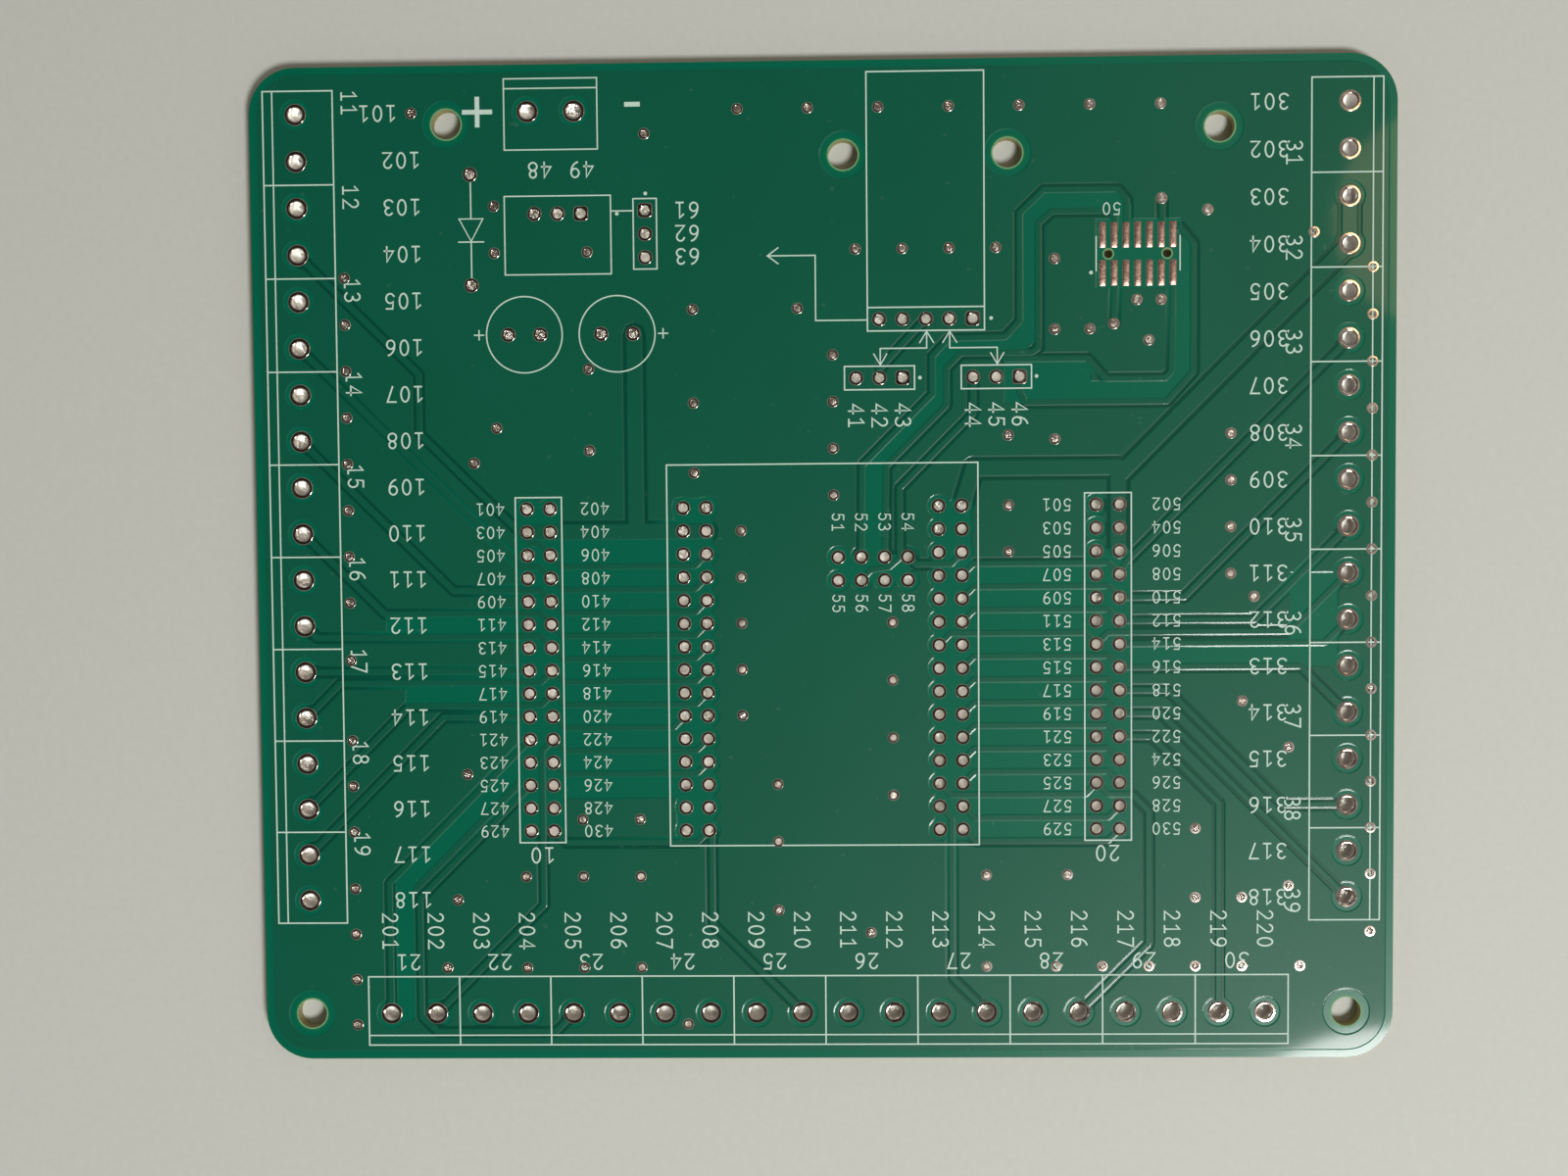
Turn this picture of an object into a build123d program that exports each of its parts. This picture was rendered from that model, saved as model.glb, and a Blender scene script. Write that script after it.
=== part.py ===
"""Bare expansion board: a drilled circuit board with tinned lands and a white printed legend.

Lengths are in millimetres. The board lies flat with its component side up. The origin is the middle of its
underside, +X runs along the long edge and +Y towards the edge with the supply terminals.
"""
import os

from build123d import *

# Panel
BOARD_LENGTH = 124.46
BOARD_WIDTH = 109.22
BOARD_THICKNESS = 1.6
CORNER_RADIUS = 5.08

# Mounting holes, clear for M3 screws
MOUNT_HOLE = 3.2
LOWER_MOUNT_INSET = 5.08
UPPER_LEFT_MOUNT_DROP = 6.35
UPPER_LEFT_MOUNT_OFFSET = 11.43
UPPER_RIGHT_MOUNT_DROP = 7.62
UPPER_RIGHT_MOUNT_INSET = 19.05
MODULE_MOUNT_DROP = 10.16
MODULE_MOUNT_SPAN = 17.78

# Wire terminals: rows of large plated holes in blocks of two, as many as fit beside the lower screw holes
TERMINAL_PITCH = 5.08
TERMINAL_INSET = 5.08
TERMINAL_HOLE = 1.5
TERMINAL_LAND = 2.4
TERMINALS_PER_BLOCK = 2
SCREW_CLEARANCE = 4.0
SUPPLY_BLOCKS = 1
SUPPLY_TERMINAL_X = -29.21

# Supply parts by their leads, each so far below the row of supply terminals
REGULATOR_PINS = 3
REGULATOR_X = -28.575
REGULATOR_DROP = 11.05
CAPACITOR_SPAN = 3.5
CAPACITOR_DROP = 24.13
LEFT_CAPACITOR_X = -32.385
RIGHT_CAPACITOR_X = -22.225
DIODE_SPAN = 12.0
DIODE_X = -38.1
DIODE_DROP = 12.7
SUPPLY_JUMPER_X = -19.05
SUPPLY_JUMPER_DROP = 13.335

# Serial module and its signal jumpers, placed from the same row
SERIAL_X = 11.43
SERIAL_DROP = 22.86
SERIAL_PINS = 5
JUMPER_PINS = 3
SIGNAL_JUMPER_DROP = 29.21
SIGNAL_JUMPER_LEFT_X = 6.35
SIGNAL_JUMPER_RIGHT_X = 19.05

# Surface-mount connector: two rows of flat pads with two locating holes between them
PAD_PITCH = 1.27
PAD_WIDTH = 0.76
PAD_LENGTH = 2.8
PADS_PER_ROW = 7
PAD_ROWS = 2
PAD_ROW_SPAN = 4.13
CONNECTOR_X = 34.37
CONNECTOR_DROP = 16.08
LOCATING_HOLE = 0.95
LOCATING_SPAN = 6.35

# Main module: a pair of sockets between a wide pair of pin strips, with a small test header
PIN_PITCH = 2.54
PIN_HOLE = 1.02
STRIP_ROWS = 15
STRIP_COLUMNS = 2
STRIP_X = 31.115
SOCKET_X = 13.97
STRIP_DROP = 22.48
TEST_HEADER_X = 5.53
TEST_HEADER_DROP = 11.51
TEST_HEADER_COLUMNS = 4
TEST_HEADER_ROWS = 2

# Printed frames
INK_LINE = 0.15
BLOCK_FRONT = 3.55
BLOCK_BACK = 4.12
MODULE_FRAME_LENGTH = 34.0
MODULE_FRAME_WIDTH = 41.95
SERIAL_FRAME_INSET = 1.3
REGULATOR_FRAME_LENGTH = 11.6
REGULATOR_FRAME_WIDTH = 8.5
REGULATOR_FRAME_DROP = 13.37
CAPACITOR_FRAME = 8.3

# The main module takes this share of the free width between the signal jumpers and the lower terminals above it
MODULE_PLACE_SHARE = 0.3554

# Tinned copper and printed ink stand this far above the panel
LAND_THICKNESS = 0.05
INK_THICKNESS = 0.03

# Facets of the small round forms, whose flats lie on the true diameter
HOLE_FACETS = 6
LAND_FACETS = 8
CIRCLE_FACETS = 16

# Edges, rows and limits that several pieces share
RIGHT_EDGE = BOARD_LENGTH / 2
UPPER_EDGE = BOARD_WIDTH / 2
SIDE_ROW_X = RIGHT_EDGE - TERMINAL_INSET
UPPER_ROW_Y = UPPER_EDGE - TERMINAL_INSET
LOWER_ROW_Y = TERMINAL_INSET - UPPER_EDGE
BLOCK_LENGTH = TERMINALS_PER_BLOCK * TERMINAL_PITCH
SCREW_ROOM = LOWER_MOUNT_INSET + MOUNT_HOLE / 2 + SCREW_CLEARANCE
LOWER_BLOCKS = int((BOARD_LENGTH - 2 * SCREW_ROOM) / BLOCK_LENGTH)
SIDE_TOP_Y = UPPER_ROW_Y + TERMINAL_PITCH / 2
SIDE_BLOCKS = int((SIDE_TOP_Y + UPPER_EDGE - SCREW_ROOM) / BLOCK_LENGTH)
SIDE_ROW_Y = SIDE_TOP_Y - SIDE_BLOCKS * BLOCK_LENGTH / 2
SERIAL_ROW_Y = UPPER_ROW_Y - SERIAL_DROP
SIGNAL_JUMPER_Y = UPPER_ROW_Y - SIGNAL_JUMPER_DROP
SUPPLY_JUMPER_Y = UPPER_ROW_Y - SUPPLY_JUMPER_DROP
CAPACITOR_Y = UPPER_ROW_Y - CAPACITOR_DROP
CONNECTOR_Y = UPPER_ROW_Y - CONNECTOR_DROP
MODULE_ROOM_TOP = SIGNAL_JUMPER_Y - PIN_PITCH / 2
MODULE_SPARE_WIDTH = MODULE_ROOM_TOP - LOWER_ROW_Y - BLOCK_BACK - MODULE_FRAME_WIDTH
MODULE_TOP_Y = MODULE_ROOM_TOP - MODULE_PLACE_SHARE * MODULE_SPARE_WIDTH
STRIP_Y = MODULE_TOP_Y - STRIP_DROP


def grid(x, y, x_pitch, y_pitch, columns, rows):
    """Places of a grid of columns and rows about a centre."""
    return [Pos(x, y) * place for place in GridLocations(x_pitch, y_pitch, columns, rows)]


def pins(x, y, columns, rows):
    """Places of a pin header about its centre."""
    return grid(x, y, PIN_PITCH, PIN_PITCH, columns, rows)


def polygon(diameter, facets):
    """Small round outline with its flats on the given diameter."""
    return RegularPolygon(diameter / 2, facets, major_radius=False)


def raised(outlines, thickness):
    """Solids that stand on the component side with the given outlines."""
    return Pos(0, 0, BOARD_THICKNESS) * extrude(Sketch() + outlines, amount=thickness)


SIDE_TERMINALS = SIDE_BLOCKS * TERMINALS_PER_BLOCK
LOWER_TERMINALS = LOWER_BLOCKS * TERMINALS_PER_BLOCK
SUPPLY_TERMINALS = SUPPLY_BLOCKS * TERMINALS_PER_BLOCK
TERMINAL_ROWS = {
    "left_terminal_lands": grid(-SIDE_ROW_X, SIDE_ROW_Y, TERMINAL_PITCH, TERMINAL_PITCH, 1, SIDE_TERMINALS),
    "right_terminal_lands": grid(SIDE_ROW_X, SIDE_ROW_Y, TERMINAL_PITCH, TERMINAL_PITCH, 1, SIDE_TERMINALS),
    "lower_terminal_lands": grid(0, LOWER_ROW_Y, TERMINAL_PITCH, TERMINAL_PITCH, LOWER_TERMINALS, 1),
    "supply_terminal_lands": grid(
        SUPPLY_TERMINAL_X, UPPER_ROW_Y, TERMINAL_PITCH, TERMINAL_PITCH, SUPPLY_TERMINALS, 1
    ),
}


def pin_places():
    """Places of every small plated hole."""
    places = []
    for x in (-STRIP_X, -SOCKET_X, SOCKET_X, STRIP_X):
        places += pins(x, STRIP_Y, STRIP_COLUMNS, STRIP_ROWS)
    places += pins(TEST_HEADER_X, MODULE_TOP_Y - TEST_HEADER_DROP, TEST_HEADER_COLUMNS, TEST_HEADER_ROWS)
    places += pins(SERIAL_X, SERIAL_ROW_Y, SERIAL_PINS, 1)
    for x in (SIGNAL_JUMPER_LEFT_X, SIGNAL_JUMPER_RIGHT_X):
        places += pins(x, SIGNAL_JUMPER_Y, JUMPER_PINS, 1)
    places += pins(SUPPLY_JUMPER_X, SUPPLY_JUMPER_Y, 1, JUMPER_PINS)
    places += pins(REGULATOR_X, UPPER_ROW_Y - REGULATOR_DROP, REGULATOR_PINS, 1)
    for x in (LEFT_CAPACITOR_X, RIGHT_CAPACITOR_X):
        places += grid(x, CAPACITOR_Y, CAPACITOR_SPAN, CAPACITOR_SPAN, 2, 1)
    return places + grid(DIODE_X, UPPER_ROW_Y - DIODE_DROP, DIODE_SPAN, DIODE_SPAN, 1, 2)


def mount_places():
    """Places of the screw holes: two upper, two lower, and two beside the serial module."""
    lower_x = RIGHT_EDGE - LOWER_MOUNT_INSET
    lower_y = LOWER_MOUNT_INSET - UPPER_EDGE
    places = [
        Pos(SUPPLY_TERMINAL_X - UPPER_LEFT_MOUNT_OFFSET, UPPER_EDGE - UPPER_LEFT_MOUNT_DROP),
        Pos(RIGHT_EDGE - UPPER_RIGHT_MOUNT_INSET, UPPER_EDGE - UPPER_RIGHT_MOUNT_DROP),
        Pos(-lower_x, lower_y),
        Pos(lower_x, lower_y),
    ]
    return places + grid(SERIAL_X, UPPER_EDGE - MODULE_MOUNT_DROP, MODULE_MOUNT_SPAN, MODULE_MOUNT_SPAN, 2, 1)


def board():
    """The panel with its rounded corners and every drilled hole."""
    holes = [place * Circle(MOUNT_HOLE / 2) for place in mount_places()]
    for row in TERMINAL_ROWS.values():
        holes += [place * polygon(TERMINAL_HOLE, HOLE_FACETS) for place in row]
    holes += [place * polygon(PIN_HOLE, HOLE_FACETS) for place in pin_places()]
    locating = grid(CONNECTOR_X, CONNECTOR_Y, LOCATING_SPAN, LOCATING_SPAN, 2, 1)
    holes += [place * polygon(LOCATING_HOLE, HOLE_FACETS) for place in locating]
    panel = RectangleRounded(BOARD_LENGTH, BOARD_WIDTH, CORNER_RADIUS) - holes
    return extrude(panel, amount=BOARD_THICKNESS)


def terminal_lands(places):
    """Tinned rings around a row of terminal holes."""
    ring = polygon(TERMINAL_LAND, LAND_FACETS) - polygon(TERMINAL_HOLE, HOLE_FACETS)
    return raised([place * ring for place in places], LAND_THICKNESS)


def connector_pads():
    """Flat solder pads of the surface-mount connector."""
    places = grid(CONNECTOR_X, CONNECTOR_Y, PAD_PITCH, PAD_ROW_SPAN, PADS_PER_ROW, PAD_ROWS)
    return raised([place * Rectangle(PAD_WIDTH, PAD_LENGTH) for place in places], LAND_THICKNESS)


def frame(x, y, length, width):
    """Printed rectangle about a centre, with its lines half inside and half outside the given size."""
    outer = Rectangle(length + INK_LINE, width + INK_LINE)
    return Pos(x, y) * (outer - Rectangle(length - INK_LINE, width - INK_LINE))


def pin_frame(x, y, columns, rows):
    """Printed outline of a pin header."""
    return frame(x, y, columns * PIN_PITCH, rows * PIN_PITCH)


def block_frames(x, y, blocks, turn):
    """Printed outlines of a row of terminal blocks, drawn along X with the wire side down, then turned."""
    depth = BLOCK_FRONT + BLOCK_BACK
    middle = (BLOCK_BACK - BLOCK_FRONT) / 2
    window = Rectangle(BLOCK_LENGTH - INK_LINE, depth - INK_LINE)
    windows = [place * window for place in grid(0, 0, BLOCK_LENGTH, BLOCK_LENGTH, blocks, 1)]
    outline = Rectangle(blocks * BLOCK_LENGTH + INK_LINE, depth + INK_LINE) - windows
    return Pos(x, y) * Rot(0, 0, turn) * Pos(0, middle) * outline


def capacitor_frame(x):
    """Printed circle around a capacitor's two leads."""
    outer = polygon(CAPACITOR_FRAME + INK_LINE, CIRCLE_FACETS)
    return Pos(x, CAPACITOR_Y) * (outer - polygon(CAPACITOR_FRAME - INK_LINE, CIRCLE_FACETS))


def serial_frame():
    """Printed outline of the serial module, divided along its row of pins."""
    length = SERIAL_PINS * PIN_PITCH
    divider = SERIAL_ROW_Y + PIN_PITCH / 2
    top = UPPER_EDGE - SERIAL_FRAME_INSET
    body = frame(SERIAL_X, (divider + top) / 2, length, top - divider)
    return body + pin_frame(SERIAL_X, SERIAL_ROW_Y, SERIAL_PINS, 1)


def legend(*outlines):
    """Printed outlines that belong together."""
    return raised(list(outlines), INK_THICKNESS)


NODES = {
    "board": board(),
    "connector_pads": connector_pads(),
    "left_terminal_legend": legend(block_frames(-SIDE_ROW_X, SIDE_ROW_Y, SIDE_BLOCKS, -90)),
    "right_terminal_legend": legend(block_frames(SIDE_ROW_X, SIDE_ROW_Y, SIDE_BLOCKS, 90)),
    "lower_terminal_legend": legend(block_frames(0, LOWER_ROW_Y, LOWER_BLOCKS, 0)),
    "supply_legend": legend(
        block_frames(SUPPLY_TERMINAL_X, UPPER_ROW_Y, SUPPLY_BLOCKS, 180),
        frame(REGULATOR_X, UPPER_ROW_Y - REGULATOR_FRAME_DROP, REGULATOR_FRAME_LENGTH, REGULATOR_FRAME_WIDTH),
        pin_frame(SUPPLY_JUMPER_X, SUPPLY_JUMPER_Y, 1, JUMPER_PINS),
        capacitor_frame(LEFT_CAPACITOR_X),
        capacitor_frame(RIGHT_CAPACITOR_X),
    ),
    "serial_legend": legend(
        serial_frame(),
        pin_frame(SIGNAL_JUMPER_LEFT_X, SIGNAL_JUMPER_Y, JUMPER_PINS, 1),
        pin_frame(SIGNAL_JUMPER_RIGHT_X, SIGNAL_JUMPER_Y, JUMPER_PINS, 1),
    ),
    "module_legend": legend(
        frame(0, MODULE_TOP_Y - MODULE_FRAME_WIDTH / 2, MODULE_FRAME_LENGTH, MODULE_FRAME_WIDTH)
    ),
    "strip_legend": legend(
        pin_frame(-STRIP_X, STRIP_Y, STRIP_COLUMNS, STRIP_ROWS),
        pin_frame(STRIP_X, STRIP_Y, STRIP_COLUMNS, STRIP_ROWS),
    ),
}
for node, places in TERMINAL_ROWS.items():
    NODES[node] = terminal_lands(places)

os.makedirs("parts", exist_ok=True)
for node, shape in NODES.items():
    export_step(shape, f"parts/{node}.step")
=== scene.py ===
# %% [markdown]
# # A bare expansion board
# A bare circuit board is a glass-epoxy panel with copper tracks under green lacquer, tinned lands around
# plated holes and a white printed legend. The imported model gives the panel, the lands and the printed
# frames as plain solids. This lesson adds the fine relief, the round holes, the print and the finishes.

# %% Load the imported board
import math

import bpy
import numpy as np
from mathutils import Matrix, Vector, geometry


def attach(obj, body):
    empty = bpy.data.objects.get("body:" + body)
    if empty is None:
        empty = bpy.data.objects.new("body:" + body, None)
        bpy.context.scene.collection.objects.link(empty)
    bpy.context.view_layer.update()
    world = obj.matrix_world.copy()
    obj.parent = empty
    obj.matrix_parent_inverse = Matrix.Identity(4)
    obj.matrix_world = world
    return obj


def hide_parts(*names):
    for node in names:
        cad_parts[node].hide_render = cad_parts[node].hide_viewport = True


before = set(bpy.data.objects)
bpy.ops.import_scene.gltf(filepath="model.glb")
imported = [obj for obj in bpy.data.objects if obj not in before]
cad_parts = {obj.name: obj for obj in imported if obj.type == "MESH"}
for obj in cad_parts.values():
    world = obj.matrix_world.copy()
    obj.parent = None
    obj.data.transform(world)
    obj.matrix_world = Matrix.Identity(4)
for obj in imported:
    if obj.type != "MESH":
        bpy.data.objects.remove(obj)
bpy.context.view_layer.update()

scene = bpy.context.scene
MM = 0.001
print("nodes in the frame:", ", ".join(sorted(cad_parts)))

# %% [markdown]
# ## Places on the drilling raster
# A board like this is drawn on a raster, so most places are a count times a pitch. The pin strips have a
# pitch of 2.54 mm and the wire terminals 5.08 mm. Each group of holes is an array of centres in
# millimetres, measured from the middle of the board.

# %% Panel, rows and columns
BOARD = np.array([124.46, 109.22])
THICKNESS = 1.6
CORNER = 5.08
PIN_PITCH = 2.54
TERMINAL_PITCH = 5.08
STRIP_ROWS = 15
TOP_ROW = 6.35
OUTER_LEFT = (-32.385, -29.845)
INNER_LEFT = (-15.24, -12.70)
INNER_RIGHT = (12.70, 15.24)
OUTER_RIGHT = (29.845, 32.385)
SIDE_X = 57.15
END_Y = 49.53
LOWER_X = -48.26
SIDE_COUNT, LOWER_COUNT = 18, 20


def row(number):
    """Height of a strip's row on the board: the top row less a count of pitches."""
    return TOP_ROW - PIN_PITCH * number


def places(xs, ys):
    """Every pair of the given columns and rows, as an array of centres."""
    grid_x, grid_y = np.meshgrid(np.atleast_1d(xs), np.atleast_1d(ys))
    return np.column_stack([grid_x.ravel(), grid_y.ravel()]).astype(float)


def to_centres(points, centres):
    """Distance from every point to the nearest of the centres."""
    return np.linalg.norm(points[:, None] - centres, axis=2).min(axis=1)


SIDE_YS = END_Y - TERMINAL_PITCH * np.arange(SIDE_COUNT)
LOWER_XS = LOWER_X + TERMINAL_PITCH * np.arange(LOWER_COUNT)
TEST_XS = 1.72 + PIN_PITCH * np.arange(4)
SIGNAL_XS = (3.81, 6.35, 8.89, 16.51, 19.05, 21.59)
terminal_groups = {
    "left": places(-SIDE_X, SIDE_YS), "right": places(SIDE_X, SIDE_YS),
    "lower": places(LOWER_XS, -END_Y), "supply": places([-31.75, -26.67], END_Y),
}
terminals = np.vstack(list(terminal_groups.values()))

strip_pins = places(OUTER_LEFT + INNER_LEFT + INNER_RIGHT + OUTER_RIGHT, row(np.arange(STRIP_ROWS)))
test_pins = places(TEST_XS, [0.81, -1.73])
serial_pins = places(6.35 + PIN_PITCH * np.arange(5), 26.67)
signal_pins = places(SIGNAL_XS, 20.32)
supply_pins = places(-19.05, [38.735, 36.195, 33.655])
regulator_pins = places([-31.115, -28.575, -26.035], 38.48)
capacitor_leads = places([-34.135, -30.635, -23.975, -20.475], 25.4)
diode_leads = places(-38.1, [42.83, 30.83])
square_pins = np.array([[16.51, 26.67], [8.89, 20.32], [21.59, 20.32], [-19.05, 38.735], [-26.035, 38.48]])
small_pins = np.vstack([
    test_pins, serial_pins, signal_pins, supply_pins, regulator_pins, capacitor_leads, diode_leads
])
is_square = to_centres(small_pins, square_pins) < PIN_PITCH / 10
round_pins = np.vstack([strip_pins, small_pins[~is_square]])
screw_holes = np.array([
    [-40.64, 48.26], [43.18, 46.99], [-SIDE_X, -END_Y], [SIDE_X, -END_Y], [2.54, 44.45], [20.32, 44.45]
])
locating_holes = np.array([[31.195, 33.45], [37.545, 33.45]])
print(len(terminals), "terminals and", len(round_pins) + len(square_pins), "pins")

# %% [markdown]
# ## Stitching vias
# Small plated holes join the copper of the two sides. On the real board they stand in rows between the pins
# and along the edges. They are listed by column or row, because that is how they were drawn.

# %% Via places
VIA_ROWS = {
    49.53: [-44.45, -8.89, -1.27, 6.35, 13.97, 21.59, 29.21, 36.83],
    46.99: [-19.05],
    39.37: [-35.56, 36.95],
    38.1: [41.91],
    34.29: [-35.56, -25.4, 3.81, 8.89, 13.97, 19.05],
    33.02: [25.4],
    28.5: [34.29, 36.9],
    27.94: [-13.97, -2.54],
    25.4: [25.4, 29.21],
    25.93: [31.8],
    24.13: [35.56],
    21.59: [-25.4],
    15.24: [-35.56],
    -27.94: [-26.67, -20.32],
    -34.29: [-33.02, -26.67, -20.32, 17.78, 26.67],
    -36.83: [-40.64, 40.64, 45.72],
    -44.45: [-41.91, -33.02, -26.67, -20.32, 17.78, 25.4, 30.48, 35.56, 40.64, 45.72, 52.07],
    -50.8: [-15.24],
}
VIA_COLUMNS = {
    -52.07: [31.75, 26.67, 21.59, 16.51, 11.43, 6.35, 1.27, -3.81, -10.16, -19.05, -24.13, -29.21, -35.56,
             -40.64, -45.72, -50.8],
    59.69: [31.75, 26.67, 21.59, 16.51, 11.43, 6.35, 1.27, -3.81, -8.89, -13.97, -19.05, -24.13, -29.21,
            -34.29, -40.64],
    53.34: [35.56],
    50.8: [-20.32, -35.56],
    46.99: [-3.81],
    45.72: [-15.24],
    44.45: [13.97, 8.89, 3.81, -1.27],
    40.64: [-29.21],
    25.4: [13.5],
    20.32: [13.97, 6.35, 1.27],
    7.62: [-6.35, -12.7, -19.05, -25.4],
    5.08: [-40.64],
    1.27: [22.86, 17.78, 12.7, 7.62],
    -5.08: [-24.13, -30.48, -38.1],
    -8.89: [3.81, -1.27, -6.35, -11.43, -16.51],
    -13.97: [17.78, 10.16],
    -25.4: [12.7],
    -38.1: [11.43],
    -39.37: [-22.86],
}
vias = np.vstack(
    [places(xs, y) for y, xs in VIA_ROWS.items()] + [places(x, ys) for x, ys in VIA_COLUMNS.items()]
)
print(len(vias), "vias")

# %% [markdown]
# ## Routes of the copper tracks
# Under the lacquer, tracks run from the terminals to the strips, in straight runs and 45 degree bends. A
# route is a list of corner points. Where tracks repeat row by row, one function makes them all.

# %% Routes
SIGNAL_ROUTES = [
    [(-57.15, 34.29), (-44.1, 21.24), (-44.1, 14.7), (-31.94, 2.54), (-31.1, 2.54), (-29.845, 1.27)],
    [(-57.15, 24.13), (-33.02, 0), (-31.1, 0), (-29.845, -1.27)],
    [(-57.15, 13.97), (-40.64, -2.54), (-31.1, -2.54), (-29.845, -3.81)],
    [(-57.15, 3.81), (-48.26, -5.08), (-31.1, -5.08), (-29.845, -6.35)],
    [(-57.15, -6.35), (-55.88, -7.62), (-31.1, -7.62), (-29.845, -8.89)],
    [(-57.15, -11.43), (-32.385, -11.43)],
    [(-57.15, -16.51), (-53.34, -12.7), (-31.1, -12.7), (-29.845, -11.43)],
    [(-57.15, -26.67), (-45.72, -15.24), (-31.1, -15.24), (-29.845, -13.97)],
    [(-57.15, -31.75), (-41.91, -16.51), (-32.385, -16.51)],
    [(-32.385, -19.05), (-48.26, -34.93), (-48.26, -49.53)],
    [(-29.845, -19.05), (-31.115, -20.32), (-31.115, -37.46), (-43.18, -49.53)],
    [(-32.385, -24.13), (-44.9, -36.65), (-44.9, -49.9), (-43.2, -51.6), (-30, -51.6), (-27.94, -49.53)],
    [(-29.845, -29.21), (-28.6, -30.48), (-14, -30.48), (-12.7, -29.21)],
    [(-12.7, -29.21), (-12.45, -29.6), (-12.45, -39.62), (-2.54, -49.53)],
    [(12.7, -8.89), (13.97, -7.62), (28.6, -7.62), (29.845, -8.89)],
    [(12.7, -24.13), (13.97, -25.4), (28.6, -25.4), (29.845, -24.13)],
    [(12.7, -26.67), (13.97, -27.94), (13.97, -45.72), (17.78, -49.53)],
    [(32.385, -1.27), (33.02, 0), (57.15, 24.13)],
    [(32.385, -3.81), (39.37, -3.81), (57.15, 13.97)],
    [(32.385, -6.35), (46.99, -6.35), (57.15, 3.81)],
    [(29.845, -8.89), (31.115, -7.62), (50.8, -7.62), (57.15, -1.27)],
    [(32.385, -8.89), (54.61, -8.89), (57.15, -6.35)],
    [(32.385, -11.43), (52.07, -11.43), (57.15, -16.51)],
    [(32.385, -13.97), (37.6, -13.97), (50.3, -26.67), (57.15, -26.67)],
    [(32.385, -16.51), (36.83, -16.51), (57.15, -36.83)],
    [(32.385, -19.05), (35.83, -19.05), (43.18, -26.4), (43.18, -49.53)],
    [(29.845, -24.13), (31.115, -25.4), (33.7, -25.4), (35.5, -27.2), (35.5, -41.97), (27.94, -49.53)],
    [(4.26, 0.83), (4.4, 10.8), (12.1, 18.5), (12.1, 22.6), (13.9, 24.5), (20, 24.6), (21.6, 26.3),
     (21.6, 37.9), (24.2, 40.4), (32.2, 40.4), (33.16, 39.3), (33.16, 36)],
    [(6.81, 0.83), (7, 10.7), (13.6, 17.3), (13.6, 21.3), (15.2, 22.9), (22.9, 22.9), (23.6, 23.4),
     (23.6, 36.8), (25.1, 38.1), (31.4, 38.1), (31.9, 37.7), (31.9, 36)],
    [(38.26, 36), (38.9, 36.3), (40.35, 34.5), (40.35, 20.7), (37.5, 17.5), (22.2, 17.5), (21.59, 18.6),
     (21.59, 20.32)],
    [(38.2, 30), (38, 20.7), (37.3, 20), (30.9, 20), (28.9, 22.2), (20, 22.2)],
    [(4.27, -1.72), (5.3, -0.6), (7.3, -0.3), (8.45, 0.7), (8.45, 8.3), (16.5, 16.35), (16.51, 20.32)],
    [(9.35, 0.83), (10.2, 0), (14.1, 0), (15.24, 1.27)],
    [(31.9, 30), (31.8, 25.93)],
    [(37, 36.9), (36.95, 39.35)],
    [(11.43, 26.67), (6.35, 21.3), (6.35, 20.32)],
]
SUPPLY_ROUTES = [
    [(-32.385, 3.81), (-12.7, 3.81)],
    [(-20.4, 25.4), (-20.4, 3.81)],
    [(15.24, 6.35), (16.5, 10.4), (32.2, 10.4), (32.2, 1.27)],
    [(32.2, 9.4), (57.15, 34.29), (57.15, 39.37)],
]


def stepped(start_x, end_x, number, step):
    """Route between two strips on one row: a bend of one step, a straight run beside the row, a bend back."""
    y = row(number)
    lean = PIN_PITCH / 2
    return [(start_x, y), (start_x + lean, y + step), (end_x - lean, y + step), (end_x, y)]


HALF_ROW = PIN_PITCH / 2
STEPPED_ROWS = [
    (OUTER_LEFT[1], INNER_LEFT[1], -HALF_ROW, (2, 3, 4, 5, 6, 7, 8, 10, 11)),
    (OUTER_LEFT[1], INNER_LEFT[0], -HALF_ROW, (9,)),
    (INNER_RIGHT[1], OUTER_RIGHT[1], HALF_ROW, (3, 4, 5, 7, 8, 9, 10, 11, 12)),
    (INNER_RIGHT[1], OUTER_RIGHT[1], -HALF_ROW, (13, 14)),
]
stepped_routes = [stepped(start, end, n, step) for start, end, step, rows in STEPPED_ROWS for n in rows]


def runs(routes):
    """Starts and ends of all straight runs of the routes, as one array of point pairs."""
    return np.array([pair for route in routes for pair in zip(route[:-1], route[1:])], float)


signal_runs, supply_runs = runs(SIGNAL_ROUTES + stepped_routes), runs(SUPPLY_ROUTES)
print(len(signal_runs), "signal runs,", len(supply_runs), "supply runs")

# %% [markdown]
# ## Where the copper area is left out
# Most of the face is one copper area. It keeps a gap from every track and from the signal lands, and it is
# left out between the strips, where the lacquer lies straight on the laminate and looks a fuller green.
# Those windows are rectangles, and three strips follow pairs of tracks.

# %% Gaps and windows
SIGNAL_HALF = 0.22
SUPPLY_HALF = 0.75
TRACK_GAP = 0.56
SUPPLY_GAP = 0.64
EDGE_GAP = 0.95
TERMINAL_GAP = 1.75
PIN_GAP = 1.35
SCREW_GAP = 2.65
WINDOWS = np.array([
    [-33.7, -25.5, -12.2, 2.8], [-16.2, -30.0, -12.2, 7.3], [-33.6, -29.5, -28.9, 7.0],
    [12.2, -30.2, 33.0, -0.3], [12.2, -30.0, 16.2, 6.8], [28.6, -30.0, 33.6, 1.2], [1.7, -1.8, 9.4, 0.9],
    [-48.0, -7.6, -33.0, -5.1], [-46.0, -15.2, -33.0, -12.7], [33.0, -11.4, 56.0, -8.9],
    [51.0, -8.9, 56.0, -1.3], [29.9, 29.8, 38.9, 37.1], [20.0, 17.6, 29.2, 22.1],
])
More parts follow.
